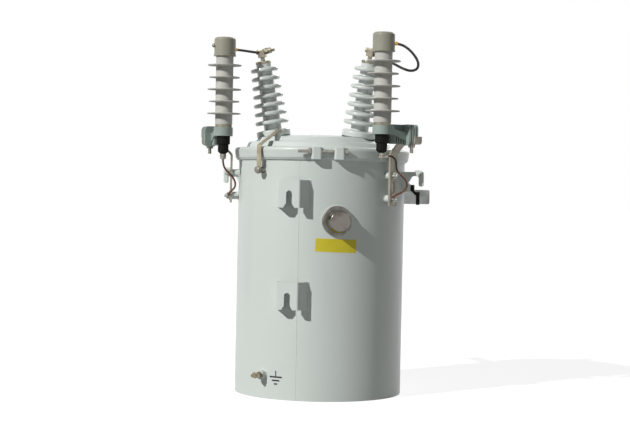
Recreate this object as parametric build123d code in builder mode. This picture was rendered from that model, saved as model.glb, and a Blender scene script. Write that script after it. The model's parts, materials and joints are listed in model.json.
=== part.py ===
from build123d import *
import os
from math import cos, degrees, pi, radians, sin, sqrt, tan

# Pole mounted transformer. Millimetres, Z up, origin on the tank's axis at its foot.
# The side that goes against the pole faces -Y, the low-voltage side +Y.
# Azimuths are counted from -Y towards +X.

# Clearances between pieces
seat_gap = 0.2
bolt_gap = 0.4

# Tank
tank_radius = 245
tank_plate = 4
tank_bottom_recess = 15
tank_bottom_plate = 5
bead_drop = 3.5
bead_reach = 6
bead_depth = 8

# Core and windings inside the tank
core_width = 160
core_depth = 340
core_height = 440
coil_width = 330
coil_depth = 240
coil_height = 310
coil_corner = 60

# Cover: a stepped dome whose skirt hangs round the tank's rim
cover_plate = 3
cover_height = 716
shoulder_radius = 10
lower_step_radius = 225
lower_step_rise = 17
upper_step_radius = 197
upper_step_rise = 13
step_run = 9
step_inset = 0.58
dome_rise = 11
skirt_depth = 26

# Clamp band and its bolt
band_plate = 3
band_lip_angle = 40
band_split_azimuth = 22.3
band_gap = 34
lug_width = 30
lug_reach = 17
lug_corner = 7
lug_drop = 9
lug_top_gap = 2
band_bolt_diameter = 9
band_bolt_depth = 13
band_bolt_tail = 38
band_nut_size = 16
band_nut_thickness = 8

# Pole hangers: pressed channels with a slot that drops over the pole bolt
hanger_spacing = 285.75
upper_slot_depth = 124
hanger_top_margin = 30
hanger_height = 78
hanger_face_width = 64
hanger_foot_width = 96
hanger_standoff = 39
hanger_plate = 5
slot_width = 17.5
slot_mouth_width = 34
slot_mouth_height = 12

# Lifting hooks
hook_plate = 8
hook_reach = 311.5
hook_depth = 58
hook_step = 5
hook_tip_drop = 47
hook_leg = 14
hook_throat_drop = 17
hook_foot_drop = 73

# High-voltage bushings
bushing_azimuth = 65
bushing_radius = 143
bushing_rise = 31
bushing_tilt = 9.5
bushing_boss_radius = 53
bushing_boss_height = 10
gasket_radius = 48
gasket_thickness = 3
flange_radius = 50
flange_thickness = 19
spigot_radius = 26
spigot_length = 18
porcelain_height = 218
core_radius_low = 27
core_radius_high = 21.8
shed_count = 7
first_shed = 45
shed_pitch = 25.8
shed_radius_low = 49.4
shed_radius_high = 40.5
shed_rim = 11
shed_slope = 3.5

# High-voltage terminals
terminal_disc_radius = 22.5
terminal_disc_thickness = 8
terminal_stem_radius = 6.5
terminal_head_width = 22
terminal_head_height = 24
terminal_height = 262
clamp_bolt_diameter = 8
clamp_bolt_tail = 17
clamp_nut_size = 14
clamp_nut_thickness = 8
clamp_bolt_rise = 5

# Surge arresters
arrester_x = 238.5
arrester_y = -190
arrester_lifts = {"left": -2.5, "right": 6}
arrester_ring_rise = 19
arrester_ring_height = 25
arrester_ring_radius = 27
base_ring_radius = 24
base_ring_height = 8
housing_radius = 25
housing_length = 210.6
arrester_shed_pitch = 34.8
arrester_first_shed = 32
arrester_shed_radii = [48.5, 44, 48.5, 44, 48.5]
arrester_shed_rim = 2.4
arrester_shed_root = 6
cap_radius = 31
cap_overlap = 13
cap_height = 54
cap_edge = 8
cap_lip = 1.2
cap_lip_height = 4
base_stud_radius = 6
base_stud_length = 34

# Insulating brackets, drawn in a plane whose x runs from the arrester to the bracket bolt
bracket_bolt_radius = 332
bracket_setback = 21
bracket_rise = 5
bracket_drop = 29
fin_count = 4
fin_width = 50
fin_thickness = 4.4
end_fin_thickness = 6
fin_gap = 3
fin_core = 38
fin_corner = 12
arm_wall = 4
arm_web = 4
arm_near_offset = 6
arm_far_offset = -22
arm_near_depth = 20
arm_near_lift = 12
rib_count = 5
rib_thickness = 3
rib_pitch = 8.5
bracket_bolt_diameter = 10
bracket_bolt_drop = 50
bracket_nut_size = 17
bracket_nut_thickness = 9

# Ground lead disconnectors
disconnector_radius_high = 19.5
disconnector_radius_low = 15.5
disconnector_step = 23
disconnector_length = 45
disconnector_cone = 7
disconnector_stud_radius = 4
disconnector_stud_length = 18
disconnector_nut_size = 16
disconnector_nut_thickness = 7
lug_barrel_radius = 4.2
lug_barrel_length = 15

# Arrester straps: cranked flat bars bolted to two bosses on the wall
strap_azimuth = 67.8
strap_width = 32
strap_thickness = 6.35
strap_length = 176
strap_inner_radius = 264
strap_lean = 31
strap_rise = 13
strap_end_radius = 356
strap_tab = 22
strap_bend_radius = 6
strap_slot_width = 11
strap_slot_length = 30
boss_radius = 11
upper_boss_depth = 76
boss_spacing = 66
wall_bolt_diameter = 10
wall_bolt_tail = 16
wall_nut_size = 17
wall_nut_thickness = 8
washer_radius = 11
lower_washer_radius = 14
washer_thickness = 2

# Ground strap over the cover's edge
ground_strap_width = 17
ground_strap_thickness = 1.8
cover_boss_azimuth = -23.5
cover_boss_radius = 190
cover_boss_rise = 41
cover_boss_diameter = 19
ground_nut_height = 9
wall_boss_azimuth = -24
wall_boss_depth = 67
wall_boss_length = 17
wall_boss_diameter = 19

# Tap changer
tap_azimuth = 29.2
tap_height = 509
tap_flange_radius = 42.5
tap_flange_thickness = 9
tap_cap_radius = 33
tap_cap_reach = 50
tap_cap_edge = 6
tap_face_radius = 28

# Tank ground clamp
ground_azimuth = -20.8
ground_height = 68
ground_boss_radius = 13
ground_boss_length = 14
ground_eye_radius = 11
ground_eye_bore = 5.5
ground_eye_width = 13
ground_screw_radius = 5
ground_screw_length = 22

# Breaker handle
handle_azimuth = 100
handle_depth = 109
gland_radius = 13
gland_length = 20
handle_shaft_radius = 5
handle_shaft_depth = 12
running_gap = 0.08
hub_radius = 9
hub_thickness = 10
handle_gap = 0.5
handle_neck_width = 9
paddle_width = 12.5
paddle_thickness = 10
paddle_length = 38
paddle_offset = 16
paddle_drop = 18
paddle_eye_radius = 2.6

# Low-voltage bushings and spades
lv_azimuths = [142, 180, 218]
lv_depth = 136
lv_flange_radius = 32
lv_flange_thickness = 8
lv_body_radius = 21
lv_body_reach = 280
lv_shed_radius = 27
lv_shed_thickness = 7
lv_stud_radius = 9
spade_height = 44
spade_thickness = 7
spade_reach = 401
spade_shank_length = 14
spade_corner = 6

# Leads
line_lead_radius = 3.8
ground_lead_radius = 2.8
# Each point's third number is its height above the cover's shoulder
line_lead_routes = {
    "left": [(-224.5, -170, 282), (-209, -143, 281.5), (-190, -112, 280), (-171.3, -83.5, 278.5)],
    "right": [
        (262, -181.7, 292.5),
        (282, -172, 291),
        (299, -151, 280),
        (310, -125, 264),
        (316, -100, 245),
        (308, -81, 228),
        (286, -72, 223),
        (261, -69.5, 231),
        (235, -71, 245),
        (207, -74, 259),
        (172.5, -77, 271),
    ],
}
ground_lead_routes = {
    "left": [
        (-238.5, -190, -41),
        (-238.3, -186, -58),
        (-233, -170, -72),
        (-225, -151, -85),
        (-220.5, -136, -101),
        (-223, -128, -117),
        (-235, -129, -129),
        (-246.5, -122.5, -137),
        (-251.3, -111, -141.5),
    ],
    "right": [
        (250, -186.5, -24),
        (261.5, -183, -21.5),
        (270.5, -175.5, -25.5),
        (274.5, -166, -35.5),
        (272.5, -156, -48),
        (271.5, -145, -62),
        (281, -134, -74),
        (291, -123.5, -86),
        (295, -116.5, -100),
        (290, -112, -114),
        (277, -113, -124),
        (263.5, -116.5, -130),
        (249.2, -115.7, -139),
    ],
}

skirt_low = cover_height - skirt_depth
bead_height = skirt_low - bead_drop
strap_top = cover_height + strap_rise
strap_low = strap_top - strap_thickness
strap_foot = cover_height + strap_rise - strap_length
upper_boss_height = cover_height - upper_boss_depth
lower_boss_height = upper_boss_height - boss_spacing
arrester_ring_low = strap_top + arrester_ring_rise
arrester_ring_high = arrester_ring_low + arrester_ring_height
wall_boss_height = cover_height - wall_boss_depth
handle_height = cover_height - handle_depth
lv_height = cover_height - lv_depth


def around(azimuth, radius, height):
    # A point on a circle round the tank's axis
    return Vector(radius * sin(radians(azimuth)), -radius * cos(radians(azimuth)), height)


def route_point(point):
    # A point of a lead's route, its height counted from the cover's shoulder
    return Vector(point[0], point[1], cover_height + point[2])


def wall_plane(azimuth, height, radius=tank_radius):
    # A plane that touches the wall, its normal outwards and its y up
    return Plane(
        origin=around(azimuth, radius, height),
        x_dir=(cos(radians(azimuth)), sin(radians(azimuth)), 0),
        z_dir=around(azimuth, 1, 0),
    )


def radial_section(azimuth):
    # A plane through the tank's axis, its x outwards and its y up
    return Plane(
        origin=(0, 0, 0),
        x_dir=around(azimuth, 1, 0),
        z_dir=(-cos(radians(azimuth)), -sin(radians(azimuth)), 0),
    )


def upright(base):
    # The plane that stands on a base plane, its x along the base's x and its y along the base's normal
    return Plane(origin=base.origin, x_dir=base.x_dir, z_dir=-base.y_dir)


def shifted(base, along_x=0, along_y=0, along_z=0):
    # A plane moved along its own axes
    origin = base.origin + base.x_dir * along_x + base.y_dir * along_y + base.z_dir * along_z
    return Plane(origin=origin, x_dir=base.x_dir, z_dir=base.z_dir)


def disc(base, radius, length, mode=Mode.ADD):
    # A round bar or hole from a plane along its normal
    with BuildSketch(base) as outline:
        Circle(radius)
    extrude(outline.sketch, amount=length, mode=mode)


def hexagon(base, across_flats, length):
    # A nut or bolt head on a plane
    with BuildSketch(base) as outline:
        RegularPolygon(across_flats / 2, 6, major_radius=False)
    extrude(outline.sketch, amount=length)


def trim_to_wall():
    # Cuts away what reaches inside the tank's outer face
    with BuildSketch(Plane.XY) as outline:
        Circle(tank_radius + seat_gap)
    extrude(outline.sketch, amount=cover_height, mode=Mode.SUBTRACT)


def write(piece, name):
    piece.label = name
    export_step(piece, f"parts/{name}.step")


def write_pair(piece, name, lifts=None):
    # A right-hand piece and its mirror image, each at its own height
    lifts = lifts or {"left": 0, "right": 0}
    write(Pos(0, 0, lifts["right"]) * piece, f"{name}_right")
    write(Pos(0, 0, lifts["left"]) * mirror(piece, about=Plane.YZ), f"{name}_left")


os.makedirs("parts", exist_ok=True)


# Tank wall with the rolled bead that the clamp band grips
rim_height = cover_height - cover_plate
with BuildPart() as tank_wall:
    with BuildSketch(Plane.XZ):
        with BuildLine():
            Polyline(
                (tank_radius - tank_plate, 0),
                (tank_radius, 0),
                (tank_radius, bead_height - bead_depth),
                (tank_radius + bead_reach, bead_height),
                (tank_radius + bead_reach, skirt_low - bolt_gap),
                (tank_radius, skirt_low - bolt_gap),
                (tank_radius, rim_height - tank_plate / 2),
                (tank_radius - tank_plate / 2, rim_height),
                (tank_radius - tank_plate, rim_height),
                close=True,
            )
        make_face()
    revolve(axis=Axis.Z)
tank_wall.part.label = "tank_wall"
export_step(tank_wall.part, "parts/tank_wall.step")

with BuildPart() as tank_bottom:
    disc(Plane.XY.offset(tank_bottom_recess), tank_radius - tank_plate - seat_gap, tank_bottom_plate)
tank_bottom.part.label = "tank_bottom"
export_step(tank_bottom.part, "parts/tank_bottom.step")

# Plain stand-in for the core and its windings, which stand on the tank's bottom
with BuildPart() as core_and_coils:
    core_plane = Plane.XY.offset(tank_bottom_recess + tank_bottom_plate + seat_gap)
    with BuildSketch(core_plane):
        Rectangle(core_width, core_depth)
    extrude(amount=core_height)
    with BuildSketch(shifted(core_plane, along_z=(core_height - coil_height) / 2)):
        RectangleRounded(coil_width, coil_depth, coil_corner)
    extrude(amount=coil_height)
core_and_coils.part.label = "core_and_coils"
export_step(core_and_coils.part, "parts/core_and_coils.step")


# Cover: one pressed sheet, with welded bosses for the bushings and the ground strap
skirt_radius = tank_radius + bead_reach + seat_gap + cover_plate
plateau_height = cover_height + lower_step_rise
dome_edge_height = plateau_height + upper_step_rise
dome_edge_radius = upper_step_radius - step_run
dome_height = dome_edge_height + dome_rise


def bushing_plane(side):
    # The plane that a high-voltage bushing stands on
    azimuth = side * bushing_azimuth
    return Plane(
        origin=around(azimuth, bushing_radius, cover_height + bushing_rise),
        x_dir=(cos(radians(azimuth)), sin(radians(azimuth)), 0),
        z_dir=around(azimuth, sin(radians(bushing_tilt)), cos(radians(bushing_tilt))),
    )


cover_boss_spot = around(cover_boss_azimuth, cover_boss_radius, cover_height)
cover_boss_top = cover_height + cover_boss_rise


def cover_outline(inset):
    # The pressing's half profile, drawn inside its outer face by an inset
    bend = inset * step_inset
    with BuildSketch(Plane.XZ) as outline:
        with BuildLine():
            pressing = FilletPolyline(
                (0, skirt_low),
                (skirt_radius - inset, skirt_low),
                (skirt_radius - inset, cover_height - inset),
                (lower_step_radius - bend, cover_height - inset),
                (lower_step_radius - step_run - bend, plateau_height - inset),
                (upper_step_radius - bend, plateau_height - inset),
                (dome_edge_radius - bend, dome_edge_height - inset),
                radius=[0, shoulder_radius - inset, 6, 6, 5],
            )
            Spline(pressing @ 1, (0, dome_height - inset), tangents=[(-dome_edge_radius, 2 * dome_rise), (-1, 0)])
            Line((0, dome_height - inset), (0, skirt_low))
        make_face()
    return outline.sketch


with BuildPart() as cover:
    revolve(cover_outline(0), axis=Axis.Z)
    revolve(cover_outline(cover_plate), axis=Axis.Z, mode=Mode.SUBTRACT)
    for side in (-1, 1):
        boss_foot = shifted(bushing_plane(side), along_z=-bushing_boss_height)
        disc(
            shifted(boss_foot, along_z=-bushing_boss_height),
            (flange_radius + bushing_boss_radius) / 2,
            4 * bushing_boss_height,
            Mode.SUBTRACT,
        )
        with BuildSketch(boss_foot) as ring:
            Circle(bushing_boss_radius)
            Circle(spigot_radius + bolt_gap, mode=Mode.SUBTRACT)
        extrude(ring.sketch, amount=bushing_boss_height)
    disc(Plane(origin=cover_boss_spot), cover_boss_diameter / 2, cover_boss_top - cover_height)
cover.part.label = "cover"
export_step(cover.part, "parts/cover.step")


# Clamp band: closed round the skirt and the bead, split between its two lugs
band_inner = skirt_radius + seat_gap
band_start = band_split_azimuth + degrees(band_gap / 2 / band_inner)
band_arc = 360 - degrees(band_gap / band_inner)
shoulder_centre = (skirt_radius - shoulder_radius, cover_height - shoulder_radius)


def shoulder_point(radius, angle):
    # A point on an arc about the cover's shoulder
    return (
        shoulder_centre[0] + radius * cos(radians(angle)),
        shoulder_centre[1] + radius * sin(radians(angle)),
    )


bead_slope = sqrt(bead_reach**2 + bead_depth**2)
leg_tip = (tank_radius + bead_reach / 3 + bolt_gap, bead_height - bead_depth * 2 / 3)
lip_inner = shoulder_radius + seat_gap
lip_outer = lip_inner + band_plate
band_bolt_radius = band_inner + band_plate + band_bolt_diameter / 2 + bolt_gap
lug_far = band_gap / 2 + lug_width
lug_low = skirt_low - lug_drop
band_split_plane = Plane(
    origin=(0, 0, lug_low),
    x_dir=(cos(radians(band_split_azimuth)), sin(radians(band_split_azimuth)), 0),
    z_dir=(0, 0, 1),
)
band_bolt_plane = Plane(
    origin=around(band_split_azimuth, band_bolt_radius, cover_height - band_bolt_depth),
    x_dir=(0, 0, 1),
    z_dir=band_split_plane.x_dir,
)
with BuildPart() as cover_clamp_band:
    for side in (-1, 1):
        with BuildSketch(band_split_plane):
            with Locations((side * (band_gap + lug_width) / 2, -band_inner)):
                RectangleRounded(lug_width, 2 * lug_reach, lug_corner)
        extrude(amount=cover_height - lug_top_gap - lug_low)
    disc(Plane.XY, band_inner, 2 * cover_height, Mode.SUBTRACT)
    disc(
        shifted(band_bolt_plane, along_z=-lug_far),
        band_bolt_diameter / 2 + bolt_gap,
        2 * lug_far,
        Mode.SUBTRACT,
    )
    with BuildSketch(radial_section(band_start)):
        with BuildLine():
            Polyline(
                shoulder_point(lip_inner, 0),
                (band_inner, skirt_low),
                (tank_radius + bead_reach + bolt_gap, bead_height),
                leg_tip,
                (leg_tip[0] + band_plate * bead_depth / bead_slope, leg_tip[1] - band_plate * bead_reach / bead_slope),
                (band_inner + bolt_gap, bead_height),
                shoulder_point(lip_outer, 0),
            )
            ThreePointArc(
                shoulder_point(lip_outer, 0),
                shoulder_point(lip_outer, band_lip_angle / 2),
                shoulder_point(lip_outer, band_lip_angle),
            )
            Line(shoulder_point(lip_outer, band_lip_angle), shoulder_point(lip_inner, band_lip_angle))
            ThreePointArc(
                shoulder_point(lip_inner, band_lip_angle),
                shoulder_point(lip_inner, band_lip_angle / 2),
                shoulder_point(lip_inner, 0),
            )
        make_face()
    revolve(axis=Axis.Z, revolution_arc=band_arc)
cover_clamp_band.part.label = "cover_clamp_band"
export_step(cover_clamp_band.part, "parts/cover_clamp_band.step")


# Pole hangers
wall_at_foot = sqrt(tank_radius**2 - (hanger_foot_width / 2) ** 2)
hanger_face = tank_radius + hanger_standoff
upper_slot_height = cover_height - upper_slot_depth
for name, slot_height in (
    ("upper_hanger", upper_slot_height),
    ("lower_hanger", upper_slot_height - hanger_spacing),
):
    hanger_top = slot_height + hanger_top_margin
    with BuildPart() as hanger:
        with BuildSketch(Plane.XY.offset(hanger_top - hanger_height)):
            with BuildLine():
                FilletPolyline(
                    (-hanger_foot_width / 2, -wall_at_foot),
                    (-hanger_face_width / 2, -hanger_face),
                    (hanger_face_width / 2, -hanger_face),
                    (hanger_foot_width / 2, -wall_at_foot),
                    radius=hanger_plate + 1,
                )
                offset(amount=hanger_plate, side=Side.LEFT, closed=True)
            make_face()
        extrude(amount=hanger_height)
        trim_to_wall()
        with BuildSketch(Plane.XZ.offset(hanger_face - hanger_plate * 2)):
            slot_centre = slot_height - slot_width / 2
            slot_floor = hanger_top - hanger_height
            with Locations((0, slot_centre)):
                Circle(slot_width / 2)
            with Locations((0, (slot_centre + slot_floor) / 2)):
                Rectangle(slot_width, slot_centre - slot_floor)
            Polygon(
                (-slot_mouth_width / 2, slot_floor),
                (slot_mouth_width / 2, slot_floor),
                (slot_width / 2, slot_floor + slot_mouth_height),
                (-slot_width / 2, slot_floor + slot_mouth_height),
                align=None,
            )
        extrude(amount=3 * hanger_plate, mode=Mode.SUBTRACT)
    hanger.part.label = name
    export_step(hanger.part, f"parts/{name}.step")


# Lifting hooks: plates that stand out from the wall and open downwards
hook_top = cover_height - hook_depth
hook_tip = hook_top - hook_tip_drop
hook_throat = hook_top - hook_throat_drop
hook_foot = hook_top - hook_foot_drop
with BuildPart() as lifting_hook:
    with BuildSketch(Plane.XZ.offset(-hook_plate / 2)):
        with BuildLine():
            FilletPolyline(
                (tank_radius - tank_plate / 2, hook_top - hook_step),
                (hook_reach - 2 * hook_leg, hook_top - hook_step),
                (hook_reach - 2 * hook_leg + hook_step, hook_top),
                (hook_reach, hook_top),
                (hook_reach, hook_tip),
                (hook_reach - hook_leg, hook_tip),
                (hook_reach - hook_leg, hook_throat),
                (hook_reach - 2.4 * hook_leg, hook_throat),
                (tank_radius + hook_leg, (hook_throat + hook_foot) / 2 - hook_step),
                (tank_radius - tank_plate / 2, hook_foot),
                radius=[0, 4, 4, 11, 6.5, 6.5, 8, 7, 10, 0],
                close=True,
            )
        make_face()
    extrude(amount=hook_plate)
    trim_to_wall()
    chamfer(lifting_hook.faces().filter_by(Axis.Y).edges().filter_by(GeomType.LINE).group_by(Axis.X)[-1], 1)
write_pair(lifting_hook.part, "lifting_hook")


# High-voltage bushings: gasket, glazed porcelain with its sheds, and the clamp terminal
shed_step = (core_radius_low - core_radius_high) / porcelain_height


def core_radius(height):
    return core_radius_low - shed_step * height


def porcelain_outline():
    # Half profile of the porcelain, foot first, shed by shed
    points = [
        (0, gasket_thickness - spigot_length),
        (spigot_radius, gasket_thickness - spigot_length),
        (spigot_radius, gasket_thickness),
        (flange_radius, gasket_thickness),
        (flange_radius, gasket_thickness + flange_thickness),
        (core_radius(first_shed), gasket_thickness + flange_thickness + 2),
    ]
    for shed in range(shed_count):
        height = first_shed + shed * shed_pitch
        rim = shed_radius_low + (shed_radius_high - shed_radius_low) * shed / (shed_count - 1)
        points += [
            (core_radius(height), height - shed_rim / 2),
            (rim, height - shed_rim / 2),
            (rim, height + shed_rim / 2),
            (core_radius(height), height + shed_rim / 2 + shed_slope),
        ]
    return points + [(core_radius_high, porcelain_height), (0, porcelain_height)]


for side, side_name in ((-1, "left"), (1, "right")):
    base = bushing_plane(side)
    stem = Axis(base.origin, base.z_dir)
    with BuildPart() as hv_bushing:
        with BuildSketch(upright(base)) as porcelain:
            Polygon(*porcelain_outline(), align=None)
            fillet(porcelain.vertices().filter_by(lambda v: v.X > core_radius_low + 2), shed_rim / 2 - 0.3)
        revolve(axis=stem)
    hv_bushing.part.label = f"hv_bushing_{side_name}"
    export_step(hv_bushing.part, f"parts/hv_bushing_{side_name}.step")

    with BuildPart() as hv_gasket:
        disc(base, gasket_radius, gasket_thickness)
        disc(base, spigot_radius + seat_gap, gasket_thickness, Mode.SUBTRACT)
    hv_gasket.part.label = f"hv_gasket_{side_name}"
    export_step(hv_gasket.part, f"parts/hv_gasket_{side_name}.step")

    squared = Vector(1, 0, 0) - base.z_dir * base.z_dir.X
    head = Plane(
        origin=shifted(base, along_z=terminal_height - terminal_head_height).origin,
        x_dir=squared,
        z_dir=base.z_dir,
    )
    screw_spot = shifted(head, along_z=terminal_head_height / 2 + clamp_bolt_rise).origin
    screw = Plane(origin=screw_spot, x_dir=head.y_dir, z_dir=head.x_dir)
    with BuildPart() as hv_terminal:
        disc(shifted(base, along_z=porcelain_height), terminal_disc_radius, terminal_disc_thickness)
        fillet(hv_terminal.edges().filter_by(GeomType.CIRCLE), 1.5)
        disc(shifted(base, along_z=porcelain_height), terminal_stem_radius, terminal_height - porcelain_height - 4)
        with BuildSketch(head):
            RectangleRounded(terminal_head_width, terminal_head_width, 5)
        extrude(amount=terminal_head_height)
        fillet(hv_terminal.faces().sort_by(stem)[-1].edges(), 3)
        disc(screw, clamp_bolt_diameter / 2, terminal_head_width / 2 + clamp_bolt_tail)
        hexagon(shifted(screw, along_z=terminal_head_width / 2), clamp_nut_size, clamp_nut_thickness)
    hv_terminal.part.label = f"hv_terminal_{side_name}"
    export_step(hv_terminal.part, f"parts/hv_terminal_{side_name}.step")


# Surge arresters: metal base ring with its stud, shedded polymer housing, moulded cap
arrester = Axis((arrester_x, arrester_y, 0), (0, 0, 1))
arrester_foot = Plane(origin=(arrester_x, arrester_y, 0))
housing_foot = arrester_ring_high + base_ring_height
housing_top = housing_foot + housing_length
with BuildPart() as arrester_base_ring:
    disc(shifted(arrester_foot, along_z=arrester_ring_high), base_ring_radius, base_ring_height)
    disc(shifted(arrester_foot, along_z=arrester_ring_high), base_stud_radius, -base_stud_length)
write_pair(arrester_base_ring.part, "arrester_base_ring", arrester_lifts)

housing_points = [(0, housing_foot), (housing_radius, housing_foot)]
for shed, rim in enumerate(arrester_shed_radii):
    height = housing_foot + arrester_first_shed + shed * arrester_shed_pitch
    housing_points += [
        (housing_radius, height - arrester_shed_root / 2),
        (rim, height - arrester_shed_rim / 2),
        (rim, height + arrester_shed_rim / 2),
        (housing_radius, height + arrester_shed_root / 2),
    ]
housing_points += [(housing_radius, housing_top), (0, housing_top)]
with BuildPart() as arrester_housing:
    with BuildSketch(upright(arrester_foot)):
        Polygon(*housing_points, align=None)
    revolve(axis=arrester)
write_pair(arrester_housing.part, "arrester_housing", arrester_lifts)

cap_foot = shifted(arrester_foot, along_z=housing_top - cap_overlap)
with BuildPart() as arrester_cap:
    disc(cap_foot, cap_radius, cap_height)
    fillet(arrester_cap.faces().sort_by(Axis.Z)[-1].edges(), cap_edge)
    disc(cap_foot, cap_radius + cap_lip, cap_lip_height)
    disc(cap_foot, housing_radius + seat_gap, cap_overlap, Mode.SUBTRACT)
write_pair(arrester_cap.part, "arrester_cap", arrester_lifts)


# Insulating brackets: a ring, an arm with a low wall on the pole side, a high wall on the tank side and
# ribs under its floor, and the finned block that sits on the strap. They are drawn in a plane whose x runs
# from the arrester to the block's bolt and whose y points to the tank.
bracket_bolt_spot = around(strap_azimuth, bracket_bolt_radius, 0)
bracket_run = bracket_bolt_spot - Vector(arrester_x, arrester_y, 0)
bracket_plane = Plane(origin=(arrester_x, arrester_y, 0), x_dir=bracket_run, z_dir=(0, 0, 1))
bracket_side = upright(bracket_plane)
bracket_cross = Plane(origin=(arrester_x, arrester_y, 0), x_dir=bracket_plane.y_dir, z_dir=bracket_plane.x_dir)
bracket_top = arrester_ring_high + bracket_rise
bracket_low = arrester_ring_low - bracket_drop
bracket_middle = (bracket_top + bracket_low) / 2
block_start = bracket_run.length - bracket_setback
block_length = end_fin_thickness + (fin_count - 1) * (fin_gap + fin_thickness)
arm_start = arrester_ring_radius * 0.6
arm_root = arrester_ring_radius * 0.95
arm_end_low = bracket_low + arm_near_lift
near_start = (arm_start, -arrester_ring_radius * 0.8)
near_end = (block_start + 1, -arm_near_offset)
far_start = (arm_start, -arm_far_offset)
far_end = (block_start + 1, -arm_far_offset)


def arm_piece(side_points, plan_points):
    # What an outline seen from the side and one seen from above have in common
    with BuildPart() as common:
        with BuildSketch(bracket_side):
            Polygon(*side_points, align=None)
        extrude(amount=fin_width, both=True)
        with BuildSketch(bracket_plane):
            Polygon(*plan_points, align=None)
        extrude(amount=2 * bracket_top, mode=Mode.INTERSECT)
    return common.part


def along_arm(share, height_at_ring, height_at_block):
    return height_at_ring + (height_at_block - height_at_ring) * share


with BuildPart() as arrester_bracket:
    near_wall = arm_piece(
        [
            (arm_start, arrester_ring_high),
            (arm_start, arrester_ring_low),
            (arm_root, arrester_ring_low),
            (block_start + 1, arm_end_low),
            (block_start + 1, bracket_top - arm_near_depth),
            (block_start - arm_near_depth, bracket_top - arm_near_depth),
            (arrester_ring_radius + arm_web, arrester_ring_high - arm_near_depth / 2),
            (arrester_ring_radius, arrester_ring_high),
        ],
        [near_start, near_end, (near_end[0], near_end[1] + arm_wall), (near_start[0], near_start[1] + arm_wall)],
    )
    arm_floor = arm_piece(
        [
            (arm_start, arrester_ring_low),
            (arm_root, arrester_ring_low),
            (block_start + 1, arm_end_low),
            (block_start + 1, arm_end_low + arm_web),
            (arm_root, arrester_ring_low + arm_web),
            (arm_start, arrester_ring_low + arm_web),
        ],
        [near_start, near_end, far_end, far_start],
    )
    far_wall = arm_piece(
        [
            (arm_start, arrester_ring_low),
            (arm_root, arrester_ring_low),
            (arm_root + arm_wall, bracket_low + arm_wall),
            (block_start + 1, bracket_low + arm_wall),
            (block_start + 1, bracket_top),
            (arm_root, bracket_top),
            (arm_start, arrester_ring_high),
        ],
        [(far_start[0], far_start[1] - arm_wall), (far_end[0], far_end[1] - arm_wall), far_end, far_start],
    )
    add([near_wall, arm_floor, far_wall])
    for rib in range(rib_count):
        along = block_start - rib_pitch * (rib + 0.6)
        share = (along - arm_root) / (block_start - arm_root)
        rib_top = along_arm(share, arrester_ring_low, arm_end_low) + arm_web / 2
        rib_near = along_arm((along - near_start[0]) / (near_end[0] - near_start[0]), near_start[1], near_end[1])
        add(
            arm_piece(
                [
                    (along, rib_top),
                    (along, bracket_low + arm_wall),
                    (along + rib_thickness, bracket_low + arm_wall),
                    (along + rib_thickness, rib_top),
                ],
                [
                    (along, rib_near + arm_wall),
                    (along + rib_thickness, rib_near + arm_wall),
                    (along + rib_thickness, far_end[1]),
                    (along, far_end[1]),
                ],
            )
        )
    disc(shifted(arrester_foot, along_z=arrester_ring_low), arrester_ring_radius, arrester_ring_height)
    fin_start = block_start
    for fin in range(fin_count):
        thickness = fin_thickness if fin else end_fin_thickness
        with BuildSketch(shifted(bracket_cross, along_z=fin_start)):
            with Locations((0, bracket_middle)):
                RectangleRounded(fin_width, bracket_top - bracket_low, fin_corner)
        extrude(amount=thickness)
        fin_start += thickness + fin_gap
    with BuildSketch(shifted(bracket_cross, along_z=block_start)):
        with Locations((0, bracket_middle)):
            RectangleRounded(fin_core, bracket_top - bracket_low - fin_corner, fin_corner / 2)
    extrude(amount=block_length)
    with BuildSketch(radial_section(strap_azimuth)):
        Polygon(
            (strap_inner_radius - strap_width, bracket_low - arm_wall),
            (strap_end_radius + strap_width, bracket_low - arm_wall),
            (strap_end_radius + strap_width, strap_low + strap_tab + bolt_gap),
            (strap_end_radius - strap_thickness - bolt_gap, strap_low + strap_tab + bolt_gap),
            (strap_end_radius - strap_thickness - bolt_gap, strap_top + seat_gap),
            (strap_inner_radius - strap_width, strap_top + seat_gap),
            align=None,
        )
    extrude(amount=strap_width / 2 + bolt_gap, both=True, mode=Mode.SUBTRACT)
    disc(
        shifted(Plane(origin=bracket_bolt_spot), along_z=bracket_low),
        bracket_bolt_diameter / 2 + bolt_gap,
        bracket_middle + fin_corner - bracket_low,
        Mode.SUBTRACT,
    )
    disc(
        shifted(arrester_foot, along_z=arrester_ring_low),
        base_stud_radius + bolt_gap,
        arrester_ring_height,
        Mode.SUBTRACT,
    )
write_pair(arrester_bracket.part, "arrester_bracket", arrester_lifts)

with BuildPart() as bracket_bolt:
    bolt_foot = shifted(Plane(origin=bracket_bolt_spot), along_z=arrester_ring_low - bracket_bolt_drop)
    disc(bolt_foot, bracket_bolt_diameter / 2, bracket_middle + fin_corner - bolt_foot.origin.Z - bolt_gap)
    hexagon(
        shifted(Plane(origin=bracket_bolt_spot), along_z=strap_low - bracket_nut_thickness),
        bracket_nut_size,
        bracket_nut_thickness,
    )
write_pair(bracket_bolt.part, "bracket_bolt", arrester_lifts)


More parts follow.
